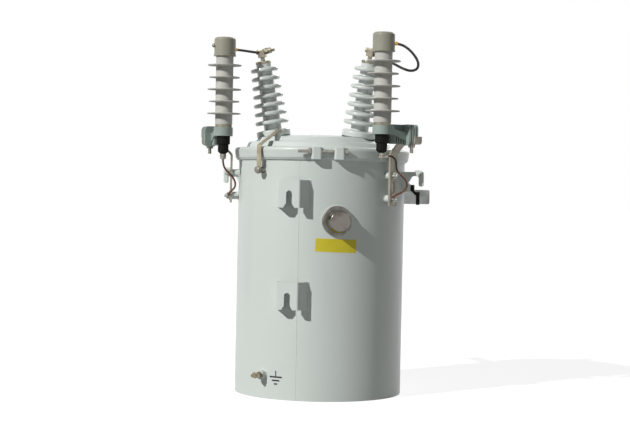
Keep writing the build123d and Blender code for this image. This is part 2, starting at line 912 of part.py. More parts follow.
# Ground lead disconnectors under the arresters, with their studs
disconnector_shoulder = arrester_ring_low - disconnector_step
disconnector_low = arrester_ring_low - disconnector_length
with BuildPart() as disconnector:
    with BuildSketch(upright(arrester_foot)):
        Polygon(
            (0, arrester_ring_low),
            (disconnector_radius_high, arrester_ring_low),
            (disconnector_radius_high, disconnector_shoulder),
            (disconnector_radius_low, disconnector_shoulder - 2),
            (disconnector_radius_low, disconnector_low),
            (disconnector_radius_low / 2, disconnector_low - disconnector_cone),
            (0, disconnector_low - disconnector_cone),
            align=None,
        )
    revolve(axis=arrester)
    disc(
        shifted(arrester_foot, along_z=arrester_ring_low),
        base_stud_radius + bolt_gap,
        arrester_ring_high - base_stud_length - arrester_ring_low - bolt_gap,
        Mode.SUBTRACT,
    )
write_pair(disconnector.part, "disconnector", arrester_lifts)

for side, side_name in ((-1, "left"), (1, "right")):
    stud_top = disconnector_low - disconnector_cone + arrester_lifts[side_name]
    foot = Plane(origin=(side * arrester_x, arrester_y, stud_top))
    with BuildPart() as disconnector_stud:
        disc(foot, disconnector_stud_radius, -disconnector_stud_length)
        hexagon(shifted(foot, along_z=-disconnector_nut_thickness), disconnector_nut_size, disconnector_nut_thickness - 1)
        hexagon(
            shifted(foot, along_z=-2 * disconnector_nut_thickness),
            disconnector_nut_size,
            disconnector_nut_thickness - 1,
        )
        if side_name == "right":
            lead_start = route_point(ground_lead_routes["right"][0])
            barrel = Plane(origin=lead_start, z_dir=route_point(ground_lead_routes["right"][1]) - lead_start)
            disc(shifted(barrel, along_z=lug_barrel_length / 2), lug_barrel_radius, -lug_barrel_length)
    disconnector_stud.part.label = f"disconnector_stud_{side_name}"
    export_step(disconnector_stud.part, f"parts/disconnector_stud_{side_name}.step")


# Arrester straps and the studs that hold them off the wall. The top of each strap follows its arrester.
for side, side_name in ((-1, "left"), (1, "right")):
    top = strap_top + arrester_lifts[side_name]
    bolt_spot = around(side * strap_azimuth, bracket_bolt_radius, top - strap_thickness)
    with BuildPart() as arrester_strap:
        with BuildSketch(radial_section(side * strap_azimuth)):
            with BuildLine():
                FilletPolyline(
                    (strap_inner_radius, strap_foot),
                    (strap_inner_radius, top - strap_lean),
                    (strap_inner_radius + strap_lean, top),
                    (strap_end_radius - strap_thickness, top),
                    (strap_end_radius - strap_thickness, top - strap_thickness + strap_tab),
                    radius=[
                        strap_bend_radius + strap_thickness,
                        strap_bend_radius + strap_thickness,
                        strap_bend_radius / 3,
                    ],
                )
                offset(amount=strap_thickness, side=Side.RIGHT, closed=True)
            make_face()
        extrude(amount=strap_width / 2, both=True)
        with BuildSketch(wall_plane(side * strap_azimuth, 0, strap_inner_radius)):
            with Locations((0, upper_boss_height), (0, lower_boss_height)):
                Circle(wall_bolt_diameter / 2 + bolt_gap)
            with Locations((0, (upper_boss_height + lower_boss_height) / 2)):
                SlotOverall(strap_slot_length, strap_slot_width, rotation=90)
        extrude(amount=strap_thickness, mode=Mode.SUBTRACT)
        disc(Plane(origin=bolt_spot), bracket_bolt_diameter / 2 + bolt_gap, strap_thickness, Mode.SUBTRACT)
    arrester_strap.part.label = f"arrester_strap_{side_name}"
    export_step(arrester_strap.part, f"parts/arrester_strap_{side_name}.step")

strap_outer_radius = strap_inner_radius + strap_thickness
with BuildPart() as strap_studs:
    for height, washer in ((upper_boss_height, washer_radius), (lower_boss_height, lower_washer_radius)):
        disc(
            wall_plane(strap_azimuth, height, tank_radius - tank_plate),
            boss_radius,
            strap_inner_radius - tank_radius + tank_plate,
        )
        disc(
            wall_plane(strap_azimuth, height, strap_inner_radius),
            wall_bolt_diameter / 2,
            strap_thickness + wall_bolt_tail,
        )
        disc(wall_plane(strap_azimuth, height, strap_outer_radius), washer, washer_thickness)
        hexagon(
            wall_plane(strap_azimuth, height, strap_outer_radius + washer_thickness),
            wall_nut_size,
            wall_nut_thickness,
        )
    trim_to_wall()
write_pair(strap_studs.part, "strap_studs")


# Ground strap from the cover to the wall, with its stud and its bolt
strap_run_start = cover_boss_spot
wall_boss_face = tank_radius + wall_boss_length
wall_boss_spot = around(wall_boss_azimuth, wall_boss_face + 2 * bolt_gap, wall_boss_height)
ground_strap_plane = Plane(
    origin=(strap_run_start.X, strap_run_start.Y, 0),
    x_dir=(wall_boss_spot.X - strap_run_start.X, wall_boss_spot.Y - strap_run_start.Y, 0),
    z_dir=(0, 0, 1),
)
ground_strap_run = sqrt((wall_boss_spot.X - strap_run_start.X) ** 2 + (wall_boss_spot.Y - strap_run_start.Y) ** 2)
with BuildPart() as cover_ground_strap:
    with BuildSketch(upright(ground_strap_plane)):
        with BuildLine():
            FilletPolyline(
                (-cover_boss_diameter / 2, cover_boss_top + seat_gap),
                (cover_boss_diameter / 2, cover_boss_top + seat_gap),
                (ground_strap_run, cover_height + cover_plate),
                (ground_strap_run, wall_boss_height - wall_boss_diameter / 2),
                radius=[4, 8],
            )
            offset(amount=ground_strap_thickness, side=Side.LEFT, closed=True)
        make_face()
    extrude(amount=ground_strap_width / 2, both=True)
    disc(
        wall_plane(wall_boss_azimuth, wall_boss_height, wall_boss_face - wall_boss_length / 2),
        wall_bolt_diameter / 2 + bolt_gap,
        wall_boss_length,
        Mode.SUBTRACT,
    )
cover_ground_strap.part.label = "cover_ground_strap"
export_step(cover_ground_strap.part, "parts/cover_ground_strap.step")

with BuildPart() as ground_strap_bolts:
    strap_seat = shifted(
        Plane(origin=cover_boss_spot), along_z=cover_boss_top + 2 * seat_gap - cover_height + ground_strap_thickness
    )
    hexagon(strap_seat, wall_nut_size, ground_nut_height)
    wall_boss = wall_plane(wall_boss_azimuth, wall_boss_height, tank_radius - tank_plate)
    disc(wall_boss, wall_boss_diameter / 2, wall_boss_length + tank_plate)
    disc(
        shifted(wall_boss, along_z=wall_boss_length + tank_plate),
        wall_bolt_diameter / 2,
        ground_strap_thickness + wall_nut_thickness + 4 * bolt_gap,
    )
    hexagon(
        shifted(wall_boss, along_z=wall_boss_length + tank_plate + ground_strap_thickness + 4 * bolt_gap),
        wall_nut_size,
        wall_nut_thickness,
    )
    trim_to_wall()
ground_strap_bolts.part.label = "ground_strap_bolts"
export_step(ground_strap_bolts.part, "parts/ground_strap_bolts.step")


# Tap changer on the pole side
tap_plane = wall_plane(tap_azimuth, tap_height, tank_radius - tap_flange_thickness)
with BuildPart() as tap_changer_flange:
    disc(tap_plane, tap_flange_radius, 2 * tap_flange_thickness)
    chamfer(tap_changer_flange.faces().sort_by(Axis(tap_plane.origin, tap_plane.z_dir))[-1].edges(), 1.5)
    trim_to_wall()
tap_changer_flange.part.label = "tap_changer_flange"
export_step(tap_changer_flange.part, "parts/tap_changer_flange.step")

cap_seat = shifted(tap_plane, along_z=2 * tap_flange_thickness)
cap_depth = tap_cap_reach - tap_flange_thickness
with BuildPart() as tap_changer_cap:
    with BuildSketch(upright(cap_seat)):
        with BuildLine():
            FilletPolyline(
                (0, 0),
                (tap_cap_radius, 0),
                (tap_cap_radius, cap_depth * 0.6),
                (tap_face_radius, cap_depth),
                (0, cap_depth),
                radius=[0, 3, tap_cap_edge],
            )
            Line((0, cap_depth), (0, 0))
        make_face()
    revolve(axis=Axis(cap_seat.origin, cap_seat.z_dir))
tap_changer_cap.part.label = "tap_changer_cap"
export_step(tap_changer_cap.part, "parts/tap_changer_cap.step")


# Tank ground boss with its clamp: an eye for the wire and a clamping screw
ground_plane = wall_plane(ground_azimuth, ground_height, tank_radius - tank_plate)
eye_centre = ground_boss_length + tank_plate + ground_eye_radius
with BuildPart() as tank_ground_boss:
    disc(ground_plane, ground_boss_radius, ground_boss_length + tank_plate)
    trim_to_wall()
tank_ground_boss.part.label = "tank_ground_boss"
export_step(tank_ground_boss.part, "parts/tank_ground_boss.step")

with BuildPart() as tank_ground_clamp:
    eye_plane = upright(shifted(ground_plane, along_z=eye_centre))
    disc(shifted(eye_plane, along_z=-ground_eye_width / 2), ground_eye_radius, ground_eye_width)
    disc(shifted(ground_plane, along_z=eye_centre), ground_screw_radius, ground_screw_length)
    hexagon(shifted(ground_plane, along_z=eye_centre + ground_eye_radius - 1), ground_eye_width, ground_screw_radius)
    disc(shifted(eye_plane, along_z=-ground_eye_width / 2), ground_eye_bore, ground_eye_width, Mode.SUBTRACT)
tank_ground_clamp.part.label = "tank_ground_clamp"
export_step(tank_ground_clamp.part, "parts/tank_ground_clamp.step")


# Breaker handle: a gland on the wall and a cranked lever that turns in it
gland_plane = wall_plane(handle_azimuth, handle_height, tank_radius - tank_plate)
gland_depth = gland_length + tank_plate
with BuildPart() as breaker_gland:
    disc(gland_plane, gland_radius, gland_depth)
    chamfer(breaker_gland.faces().sort_by(Axis(gland_plane.origin, gland_plane.z_dir))[-1].edges(), 2)
    disc(
        shifted(gland_plane, along_z=gland_depth - handle_shaft_depth - handle_gap),
        handle_shaft_radius + running_gap,
        handle_shaft_depth + handle_gap,
        Mode.SUBTRACT,
    )
    trim_to_wall()
breaker_gland.part.label = "breaker_gland"
export_step(breaker_gland.part, "parts/breaker_gland.step")

hub_plane = shifted(gland_plane, along_z=gland_depth + handle_gap)
crank_plane = upright(hub_plane)
with BuildPart() as breaker_handle:
    disc(shifted(hub_plane, along_z=-handle_shaft_depth), handle_shaft_radius, handle_shaft_depth)
    disc(hub_plane, hub_radius, hub_thickness)
    paddle_plane = shifted(hub_plane, along_z=paddle_offset)
    with BuildSketch(hub_plane) as neck_foot:
        with Locations((0, -hub_radius / 2)):
            Rectangle(handle_neck_width, hub_radius)
    with BuildSketch(shifted(hub_plane, along_y=-paddle_drop, along_z=paddle_offset)) as neck_tip:
        Rectangle(handle_neck_width, paddle_thickness)
    loft([neck_foot.sketch.face(), neck_tip.sketch.face()])
    with BuildSketch(paddle_plane):
        with Locations((0, -paddle_drop - paddle_length / 2 + paddle_width / 2)):
            SlotOverall(paddle_length, paddle_width, rotation=90)
    extrude(amount=paddle_thickness)
    with BuildSketch(paddle_plane):
        with Locations((0, -paddle_drop - paddle_length / 2)):
            Circle(paddle_eye_radius)
    extrude(amount=paddle_thickness, mode=Mode.SUBTRACT)
breaker_handle.part.label = "breaker_handle"
export_step(breaker_handle.part, "parts/breaker_handle.step")


# Low-voltage bushings with their spade terminals
with BuildPart() as lv_bushings:
    for azimuth in lv_azimuths:
        base = wall_plane(azimuth, lv_height, tank_radius - lv_flange_thickness)
        disc(base, lv_flange_radius, 2 * lv_flange_thickness)
        disc(base, lv_body_radius, lv_body_reach - tank_radius + lv_flange_thickness)
        disc(
            wall_plane(azimuth, lv_height, lv_body_reach - 1.6 * lv_shed_thickness),
            lv_shed_radius,
            lv_shed_thickness,
        )
        disc(
            wall_plane(azimuth, lv_height, lv_body_reach - spade_shank_length),
            lv_stud_radius + seat_gap,
            spade_shank_length,
            Mode.SUBTRACT,
        )
    trim_to_wall()
lv_bushings.part.label = "lv_bushings"
export_step(lv_bushings.part, "parts/lv_bushings.step")

with BuildPart() as lv_terminals:
    for azimuth in lv_azimuths:
        disc(
            wall_plane(azimuth, lv_height, lv_body_reach - spade_shank_length),
            lv_stud_radius,
            spade_shank_length * 1.5,
        )
        blade = radial_section(azimuth)
        with BuildSketch(blade):
            with Locations(((lv_body_reach + spade_shank_length / 2 + spade_reach) / 2, lv_height)):
                RectangleRounded(spade_reach - lv_body_reach - spade_shank_length / 2, spade_height, spade_corner)
        extrude(amount=spade_thickness / 2, both=True)
lv_terminals.part.label = "lv_terminals"
export_step(lv_terminals.part, "parts/lv_terminals.step")


# Band bolt: through both lugs, its threaded end on the left
with BuildPart() as band_bolt:
    disc(
        shifted(band_bolt_plane, along_z=-lug_far - band_bolt_tail),
        band_bolt_diameter / 2,
        2 * lug_far + band_bolt_tail,
    )
    hexagon(shifted(band_bolt_plane, along_z=lug_far), band_nut_size, band_nut_thickness)
    hexagon(shifted(band_bolt_plane, along_z=-lug_far - band_nut_thickness), band_nut_size, band_nut_thickness)
band_bolt.part.label = "band_bolt"
export_step(band_bolt.part, "parts/band_bolt.step")


# Leads: straight runs joined by tangent arcs
def lead_tube(route, radius, name):
    # A tube along a route of points, each corner rounded as widely as its two runs allow
    points = [route_point(point) for point in route]
    radii = []
    for before, corner, after in zip(points, points[1:], points[2:]):
        turn = (corner - before).get_angle(after - corner)
        run = min((corner - before).length, (after - corner).length)
        radii.append(0.45 * run / tan(radians(turn / 2)))
    print(name, "radii", [round(value) for value in radii])
    with BuildPart() as lead:
        with BuildLine() as path:
            FilletPolyline(*points, radius=radii)
        with BuildSketch(Plane(origin=points[0], z_dir=points[1] - points[0])) as section:
            Circle(radius)
        sweep(section.sketch, path=path.line)
    print(name, "length", round(path.wire().length), "volume ratio",
          round(lead.part.volume / (path.wire().length * pi * radius**2), 4))
    lead.part.label = name
    export_step(lead.part, f"parts/{name}.step")


for side_name in ("left", "right"):
    lead_tube(line_lead_routes[side_name], line_lead_radius, f"line_lead_{side_name}")
    lead_tube(ground_lead_routes[side_name], ground_lead_radius, f"ground_lead_{side_name}")
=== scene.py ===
import json
import bpy
from math import cos, degrees, pi, radians, sin, sqrt, tan
from mathutils import Matrix, Vector


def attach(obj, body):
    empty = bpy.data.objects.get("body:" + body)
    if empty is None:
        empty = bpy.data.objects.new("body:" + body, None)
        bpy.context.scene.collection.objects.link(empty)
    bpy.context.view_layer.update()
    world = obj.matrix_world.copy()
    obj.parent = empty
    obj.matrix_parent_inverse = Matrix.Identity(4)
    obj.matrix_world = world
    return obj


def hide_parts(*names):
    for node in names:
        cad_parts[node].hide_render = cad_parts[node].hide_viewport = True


# Pole mounted transformer: finishes, fastenings, leads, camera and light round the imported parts.
# Metres, Z up, the pole side faces -Y. Azimuths are in degrees, counted from -Y towards +X.

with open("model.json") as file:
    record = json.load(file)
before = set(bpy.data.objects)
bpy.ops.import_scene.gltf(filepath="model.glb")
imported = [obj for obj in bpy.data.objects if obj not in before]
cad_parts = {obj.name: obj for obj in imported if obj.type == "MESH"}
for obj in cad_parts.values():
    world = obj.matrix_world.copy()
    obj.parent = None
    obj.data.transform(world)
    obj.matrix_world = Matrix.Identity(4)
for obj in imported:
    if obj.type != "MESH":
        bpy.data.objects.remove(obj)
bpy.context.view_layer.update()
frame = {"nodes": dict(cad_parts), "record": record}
nodes = frame["nodes"]
mainBody = "transformer"
print("frame loaded:", len(nodes), "nodes")

tank = {"radius": 0.245, "coverHeight": 0.716}
arrester = {
    "x": 0.2385, "y": -0.190, "capRadius": 0.031, "capLow": 0.9786, "studTop": 0.696,
    "lifts": {"left": -0.0025, "right": 0.006},  # the two stand at slightly different heights
}
sides = {"left": -1, "right": 1}
up = Vector((0, 0, 1))
down = -up


def around(azimuth, radius, height):
    # a point on a circle round the tank's axis
    return Vector((radius * sin(radians(azimuth)), -radius * cos(radians(azimuth)), height))


# Camera: stands on the pole side, a little towards +X
photo = {
    "azimuth": 18.5,
    "distance": 4.5,
    "height": 0.593,
    "lens": 86.8,
    "sensor": 36,
    "pitch": 0.018,
    "yaw": -0.0038,
    "roll": 0.0205,
    "sight": 200,
}
away = -around(photo["azimuth"], 1, 0)
right = away.cross(up)


def addCamera():
    aim = (away + right * photo["yaw"] - up * photo["pitch"]).normalized()
    level = aim.cross(up).normalized()
    top = level.cross(aim)
    side = level * cos(photo["roll"]) + top * sin(photo["roll"])
    head = top * cos(photo["roll"]) - level * sin(photo["roll"])
    bpy.ops.object.camera_add()
    camera = bpy.context.object
    camera.name = "photoCamera"
    camera.data.lens = photo["lens"]
    camera.data.sensor_width = photo["sensor"]
    camera.data.clip_end = photo["sight"]
    turn = Matrix((side, head, -aim)).transposed().to_4x4()
    spot = around(photo["azimuth"], photo["distance"], photo["height"])
    camera.matrix_world = Matrix.Translation(spot) @ turn
    bpy.context.scene.camera = camera


addCamera()
print("camera placed")


# Node boards: maths on sockets is written as plain sums
class Wire:
    def __init__(self, board, socket):
        self.board = board
        self.socket = socket

    def math(self, operation, first, second):
        return self.board.add("ShaderNodeMath", {"operation": operation}, {0: first, 1: second})

    def __add__(self, other):
        return self.math("ADD", self, other)

    def __radd__(self, other):
        return self.math("ADD", other, self)

    def __mul__(self, other):
        return self.math("MULTIPLY", self, other)

    def __rmul__(self, other):
        return self.math("MULTIPLY", other, self)


class Board:
    # the node tree of one material, or of the world
    def __init__(self, owner):
        owner.use_nodes = True
        self.owner = owner
        self.tree = owner.node_tree
        self.shader = self.tree.nodes.get("Principled BSDF")

    def add(self, kind, settings, inputs, output=0):
        node = self.tree.nodes.new(kind)
        for key, value in settings.items():
            setattr(node, key, value)
        for key, value in inputs.items():
            self.feed(node.inputs[key], value)
        return Wire(self, node.outputs[output])

    def feed(self, socket, value):
        if isinstance(value, Wire):
            self.tree.links.new(value.socket, socket)
        else:
            socket.default_value = value

    def set(self, **values):
        names = {
            "colour": "Base Color",
            "roughness": "Roughness",
            "metallic": "Metallic",
            "normal": "Normal",
            "coat": "Coat Weight",
            "coatRoughness": "Coat Roughness",
            "specular": "Specular IOR Level",
        }
        for key, value in values.items():
            self.feed(self.shader.inputs[names[key]], value)

    def place(self):
        return self.add("ShaderNodeTexCoord", {}, {}, "Object")

    def stretched(self, vector, scale):
        return self.add("ShaderNodeMapping", {}, {"Vector": vector, "Scale": scale})

    def noise(self, vector, scale, detail):
        inputs = {"Vector": vector, "Scale": scale, "Detail": detail}
        return self.add("ShaderNodeTexNoise", {}, inputs, "Fac")

    def bands(self, vector, scale, distortion):
        settings = {"wave_type": "BANDS", "bands_direction": "DIAGONAL"}
        inputs = {"Vector": vector, "Scale": scale, "Distortion": distortion}
        return self.add("ShaderNodeTexWave", settings, inputs, "Fac")

    def blend(self, share, first, second):
        # the colour sockets of a Mix node are its inputs 6 and 7 and its output 2
        return self.add("ShaderNodeMix", {"data_type": "RGBA"}, {0: share, 6: first, 7: second}, 2)

    def step(self, value, low, high):
        settings = {"interpolation_type": "SMOOTHSTEP"}
        return self.add("ShaderNodeMapRange", settings, {0: value, 1: low, 2: high})

    def bump(self, height, depth, strength=1.0, under=None):
        inputs = {"Strength": strength, "Distance": depth, "Height": height}
        if under:
            inputs["Normal"] = under
        return self.add("ShaderNodeBump", {}, inputs)

    def seenDirect(self):
        # 1 on rays from the camera, also by way of metal or glass, and 0 on the rays that light things
        seen = self.add("ShaderNodeLightPath", {}, {}, "Is Camera Ray")
        for kind in ("Is Glossy Ray", "Is Transmission Ray"):
            ray = self.add("ShaderNodeLightPath", {}, {}, kind)
            seen = self.add("ShaderNodeMath", {"operation": "MAXIMUM"}, {0: seen, 1: ray})
        return seen


def newBoard(name):
    return Board(bpy.data.materials.new(name))


def tint(red, green, blue, share=1.0):
    # a paint colour given as screen values, with its light values worked out by the sRGB curve
    def light(value):
        value = value * share / 255
        return value / 12.92 if value <= 0.04045 else ((value + 0.055) / 1.055) ** 2.4

    return (light(red), light(green), light(blue), 1)


# Painted steel: satin, with the fine orange peel of a sprayed coat and slow waves in the plate
paint = {
    "clouds": 3.5, "specks": 900, "grimeStretch": (9, 9, 2.2), "grimeLow": 0.56, "grimeHigh": 0.78,
    "grimeShare": 0.16, "darker": 0.975, "lighter": 1.02, "dirty": 0.86, "waves": 7, "waveDepth": 0.0010,
    "peel": 420, "peelDepth": 0.00022, "peelStrength": 0.6, "cloudGloss": 0.10, "speckGloss": 0.06,
    "coat": 0.12, "coatRoughness": 0.22,
}


def paintedSteel(name, shade, gloss=0.40):
    board = newBoard(name)
    place = board.place()
    clouds = board.noise(place, paint["clouds"], detail=4)
    specks = board.noise(place, paint["specks"], detail=2)
    streaks = board.noise(board.stretched(place, paint["grimeStretch"]), 1.0, detail=6)
    grime = board.step(streaks, paint["grimeLow"], paint["grimeHigh"])
    tone = board.blend(clouds, tint(*shade, paint["darker"]), tint(*shade, paint["lighter"]))
    tone = board.blend(grime * paint["grimeShare"], tone, tint(*shade, paint["dirty"]))
    waves = board.bump(board.noise(place, paint["waves"], detail=1), paint["waveDepth"])
    peel = board.noise(place, paint["peel"], detail=1)
    board.set(
        colour=tone,
        roughness=gloss + clouds * paint["cloudGloss"] + specks * paint["speckGloss"],
        normal=board.bump(peel, paint["peelDepth"], paint["peelStrength"], waves),
        coat=paint["coat"],
        coatRoughness=paint["coatRoughness"],
    )
    return board.owner


# Glazed porcelain: hard and glossy, with a faint cloud and small pits in the glaze
glaze = {
    "clouds": 22, "pits": 700, "pitLow": 0.70, "pitHigh": 0.78, "pitShare": 0.25, "pitTone": 0.8,
    "darker": 0.97, "lighter": 1.02, "roughness": 0.16, "cloudGloss": 0.08, "ripples": 60,
    "rippleDepth": 0.0004, "rippleStrength": 0.5, "coat": 0.35, "coatRoughness": 0.08,
}


def glazedPorcelain(name, shade):
    board = newBoard(name)
    place = board.place()
    clouds = board.noise(place, glaze["clouds"], detail=3)
    pits = board.step(board.noise(place, glaze["pits"], detail=0), glaze["pitLow"], glaze["pitHigh"])
    tone = board.blend(clouds, tint(*shade, glaze["darker"]), tint(*shade, glaze["lighter"]))
    ripples = board.noise(place, glaze["ripples"], detail=1)
    board.set(
        colour=board.blend(pits * glaze["pitShare"], tone, tint(*shade, glaze["pitTone"])),
        roughness=glaze["roughness"] + clouds * glaze["cloudGloss"],
        normal=board.bump(ripples, glaze["rippleDepth"], glaze["rippleStrength"]),
        coat=glaze["coat"],
        coatRoughness=glaze["coatRoughness"],
    )
    return board.owner


# Moulded plastic or rubber: matt skin with fine grain and a little dust
moulded = {
    "clouds": 14, "patches": 32, "patchLow": 0.5, "patchHigh": 0.8, "darker": 0.95, "lighter": 1.04,
    "dustShade": (150, 150, 145), "cloudGloss": 0.12, "grainDepth": 0.00012, "grainStrength": 0.7,
    "coatRoughness": 0.25,
}


def mouldedSkin(name, shade, roughness, grainScale=650, coat=0.0, dust=0.12, shine=0.5):
    board = newBoard(name)
    place = board.place()
    grain = board.noise(place, grainScale, detail=2)
    clouds = board.noise(place, moulded["clouds"], detail=4)
    patches = board.noise(place, moulded["patches"], detail=5)
    patches = board.step(patches, moulded["patchLow"], moulded["patchHigh"])
    tone = board.blend(clouds, tint(*shade, moulded["darker"]), tint(*shade, moulded["lighter"]))
    board.set(
        colour=board.blend(patches * dust, tone, tint(*moulded["dustShade"])),
        roughness=roughness + clouds * moulded["cloudGloss"],
        normal=board.bump(grain, moulded["grainDepth"], moulded["grainStrength"]),
        coat=coat,
        coatRoughness=moulded["coatRoughness"],
        specular=shine,
    )
    return board.owner


# Bare or plated metal: zinc bloom, tarnish in patches and fine scratches
metal = {
    "patchLow": 0.40, "patchHigh": 0.68, "scratchStretch": (1, 1, 12), "scratches": 260, "tarnishShare": 0.6,
    "scratchShare": 0.2, "scratchTone": 1.1, "patchGloss": 0.16, "scratchGloss": 0.08,
    "scratchDepth": 0.00006, "scratchStrength": 0.6,
}


def bareMetal(name, shade, tarnish, roughness, metallic=1.0, patchScale=60):
    board = newBoard(name)
    place = board.place()
    patches = board.step(board.noise(place, patchScale, detail=5), metal["patchLow"], metal["patchHigh"])
    scratches = board.noise(board.stretched(place, metal["scratchStretch"]), metal["scratches"], detail=3)
    tone = board.blend(patches * metal["tarnishShare"], tint(*shade), tint(*tarnish))
    board.set(
        colour=board.blend(scratches * metal["scratchShare"], tone, tint(*shade, metal["scratchTone"])),
        metallic=metallic,
        roughness=roughness + patches * metal["patchGloss"] + scratches * metal["scratchGloss"],
        normal=board.bump(scratches, metal["scratchDepth"], metal["scratchStrength"]),
    )
    return board.owner


# Polished stainless steel: fine turning marks, a base colour darkened as painted dark reflection, and darker
# patches that are partly dulled metal and partly painted dark reflection
stainless = {
    "shade": (120, 115, 109), "dullingAndReflectionShade": (80, 75, 70), "dullingAndReflection": 40, "dullingAndReflectionLow": 0.45, "dullingAndReflectionHigh": 0.7,
    "dullingAndReflectionShare": 0.7, "marks": 320, "markStretch": (1, 1, 3), "roughness": 0.10, "wearGloss": 0.12,
    "markGloss": 0.05, "markDepth": 0.00005, "markStrength": 0.5,
}


def turnedSteel(name):
    board = newBoard(name)
    place = board.place()
    dullingAndReflection = board.noise(place, stainless["dullingAndReflection"], detail=4)
    dullingAndReflection = board.step(dullingAndReflection, stainless["dullingAndReflectionLow"], stainless["dullingAndReflectionHigh"])
    marks = board.noise(board.stretched(place, stainless["markStretch"]), stainless["marks"], detail=2)
    # the base shade is painted dark reflection of surroundings mirrored in the metal; the darker patches are
    # partly dulled metal and partly painted dark reflection
    shades = tint(*stainless["shade"]), tint(*stainless["dullingAndReflectionShade"])
    board.set(
        colour=board.blend(dullingAndReflection * stainless["dullingAndReflectionShare"], *shades),
        metallic=1.0,
        roughness=stainless["roughness"] + dullingAndReflection * stainless["wearGloss"] + marks * stainless["markGloss"],
        normal=board.bump(marks, stainless["markDepth"], stainless["markStrength"]),
    )
    return board.owner


# Insulated lead: black sleeve with a slight rib
sleeve = {
    "ribs": 160, "distortion": 0.6, "low": (22, 22, 22), "high": (44, 43, 42), "roughness": 0.42,
    "ribGloss": 0.1, "ribDepth": 0.0003, "ribStrength": 0.5,
}


def blackSleeve(name):
    board = newBoard(name)
    ribs = board.bands(board.place(), sleeve["ribs"], sleeve["distortion"])
    board.set(
        colour=board.blend(ribs, tint(*sleeve["low"]), tint(*sleeve["high"])),
        roughness=sleeve["roughness"] + ribs * sleeve["ribGloss"],
        normal=board.bump(ribs, sleeve["ribDepth"], sleeve["ribStrength"]),
    )
    return board.owner


# Stranded copper lead: reddish braid, darker between the strands and, on one lead, dark above a height
braid = {
    "strands": 240, "distortion": 1.2, "low": (66, 40, 31), "high": (128, 78, 60), "dark": (40, 34, 30),
    "fadeBelow": 0.006, "fadeAbove": 0.004, "metallic": 0.55, "roughness": 0.42, "strandGloss": 0.12,
    "strandDepth": 0.0005, "strandStrength": 0.7,
}


def copperBraid(name, darkAbove=None):
    board = newBoard(name)
    place = board.place()
    strands = board.bands(place, braid["strands"], braid["distortion"])
    tone = board.blend(strands, tint(*braid["low"]), tint(*braid["high"]))
    if darkAbove:
        height = board.add("ShaderNodeSeparateXYZ", {}, {0: place}, "Z")
        dark = board.step(height, darkAbove - braid["fadeBelow"], darkAbove + braid["fadeAbove"])
        tone = board.blend(dark, tone, tint(*braid["dark"]))
    board.set(
        colour=tone,
        metallic=braid["metallic"],
        roughness=braid["roughness"] + strands * braid["strandGloss"],
        normal=board.bump(strands, braid["strandDepth"], braid["strandStrength"]),
    )
    return board.owner


# Printed or stuck-on colour
printed = {
    "clouds": 30, "fade": 90, "fadeLow": 0.5, "fadeHigh": 0.75, "fadeShare": 0.15, "fadeTone": 0.8,
    "darker": 0.95, "lighter": 1.05, "cloudGloss": 0.1, "grain": 500, "grainDepth": 0.00005,
    "grainStrength": 0.5,
}


def flatPrint(name, shade, roughness):
    board = newBoard(name)
    place = board.place()
    clouds = board.noise(place, printed["clouds"], detail=4)
    fade = board.step(board.noise(place, printed["fade"], detail=5), printed["fadeLow"], printed["fadeHigh"])
    tone = board.blend(clouds, tint(*shade, printed["darker"]), tint(*shade, printed["lighter"]))
    grain = board.noise(place, printed["grain"], detail=1)
    board.set(
        colour=board.blend(fade * printed["fadeShare"], tone, tint(*shade, printed["fadeTone"])),
        roughness=roughness + clouds * printed["cloudGloss"],
        normal=board.bump(grain, printed["grainDepth"], printed["grainStrength"]),
    )
    return board.owner


# Finishes by material slot: screen colour, tarnish colour where there is one, then roughness
finishes = {
    "tank_paint": paintedSteel("tankPaint", (204, 212, 208)),
    "porcelain": glazedPorcelain("porcelainGlaze", (205, 211, 208)),
    "gasket": mouldedSkin("gasketRubber", (48, 48, 46), 0.7),
    "bronze": bareMetal("clampBronze", (150, 145, 130), (100, 92, 74), 0.34, patchScale=90),
    "polymer": mouldedSkin("shedPolymer", (197, 197, 192), 0.6, grainScale=420, dust=0.1, shine=0.08),
    "cap_plastic": mouldedSkin(
        "capPlastic", (154, 154, 140), 0.42, grainScale=800, coat=0.04, dust=0.04, shine=0.3
    ),
    "bracket_resin": mouldedSkin(
        "bracketResin", (152, 166, 160), 0.42, grainScale=500, coat=0.05, dust=0.06, shine=0.3
    ),
    "bolt_steel": bareMetal("zincSteel", (146, 144, 136), (88, 83, 74), 0.34, patchScale=120),
    "black_plastic": mouldedSkin("blackPlastic", (24, 24, 23), 0.55, dust=0.01, shine=0.08),
    "end_fitting": bareMetal("fittingMetal", (138, 134, 118), (98, 92, 76), 0.44, metallic=0.6),
    "strap_steel": bareMetal(
        "strapZinc", (160, 156, 144), (124, 118, 104), 0.50, metallic=0.35, patchScale=35
    ),
    "tinned_copper": bareMetal(
        "tinnedCopper", (172, 164, 144), (122, 110, 86), 0.40, metallic=0.6, patchScale=45
    ),
    "stainless": turnedSteel("turnedStainless"),
    "core_steel": mouldedSkin("coreVarnish", (120, 96, 70), 0.5),
    "line_lead": blackSleeve("leadSleeve"),
    "ground_lead": copperBraid("leadBraid"),
}
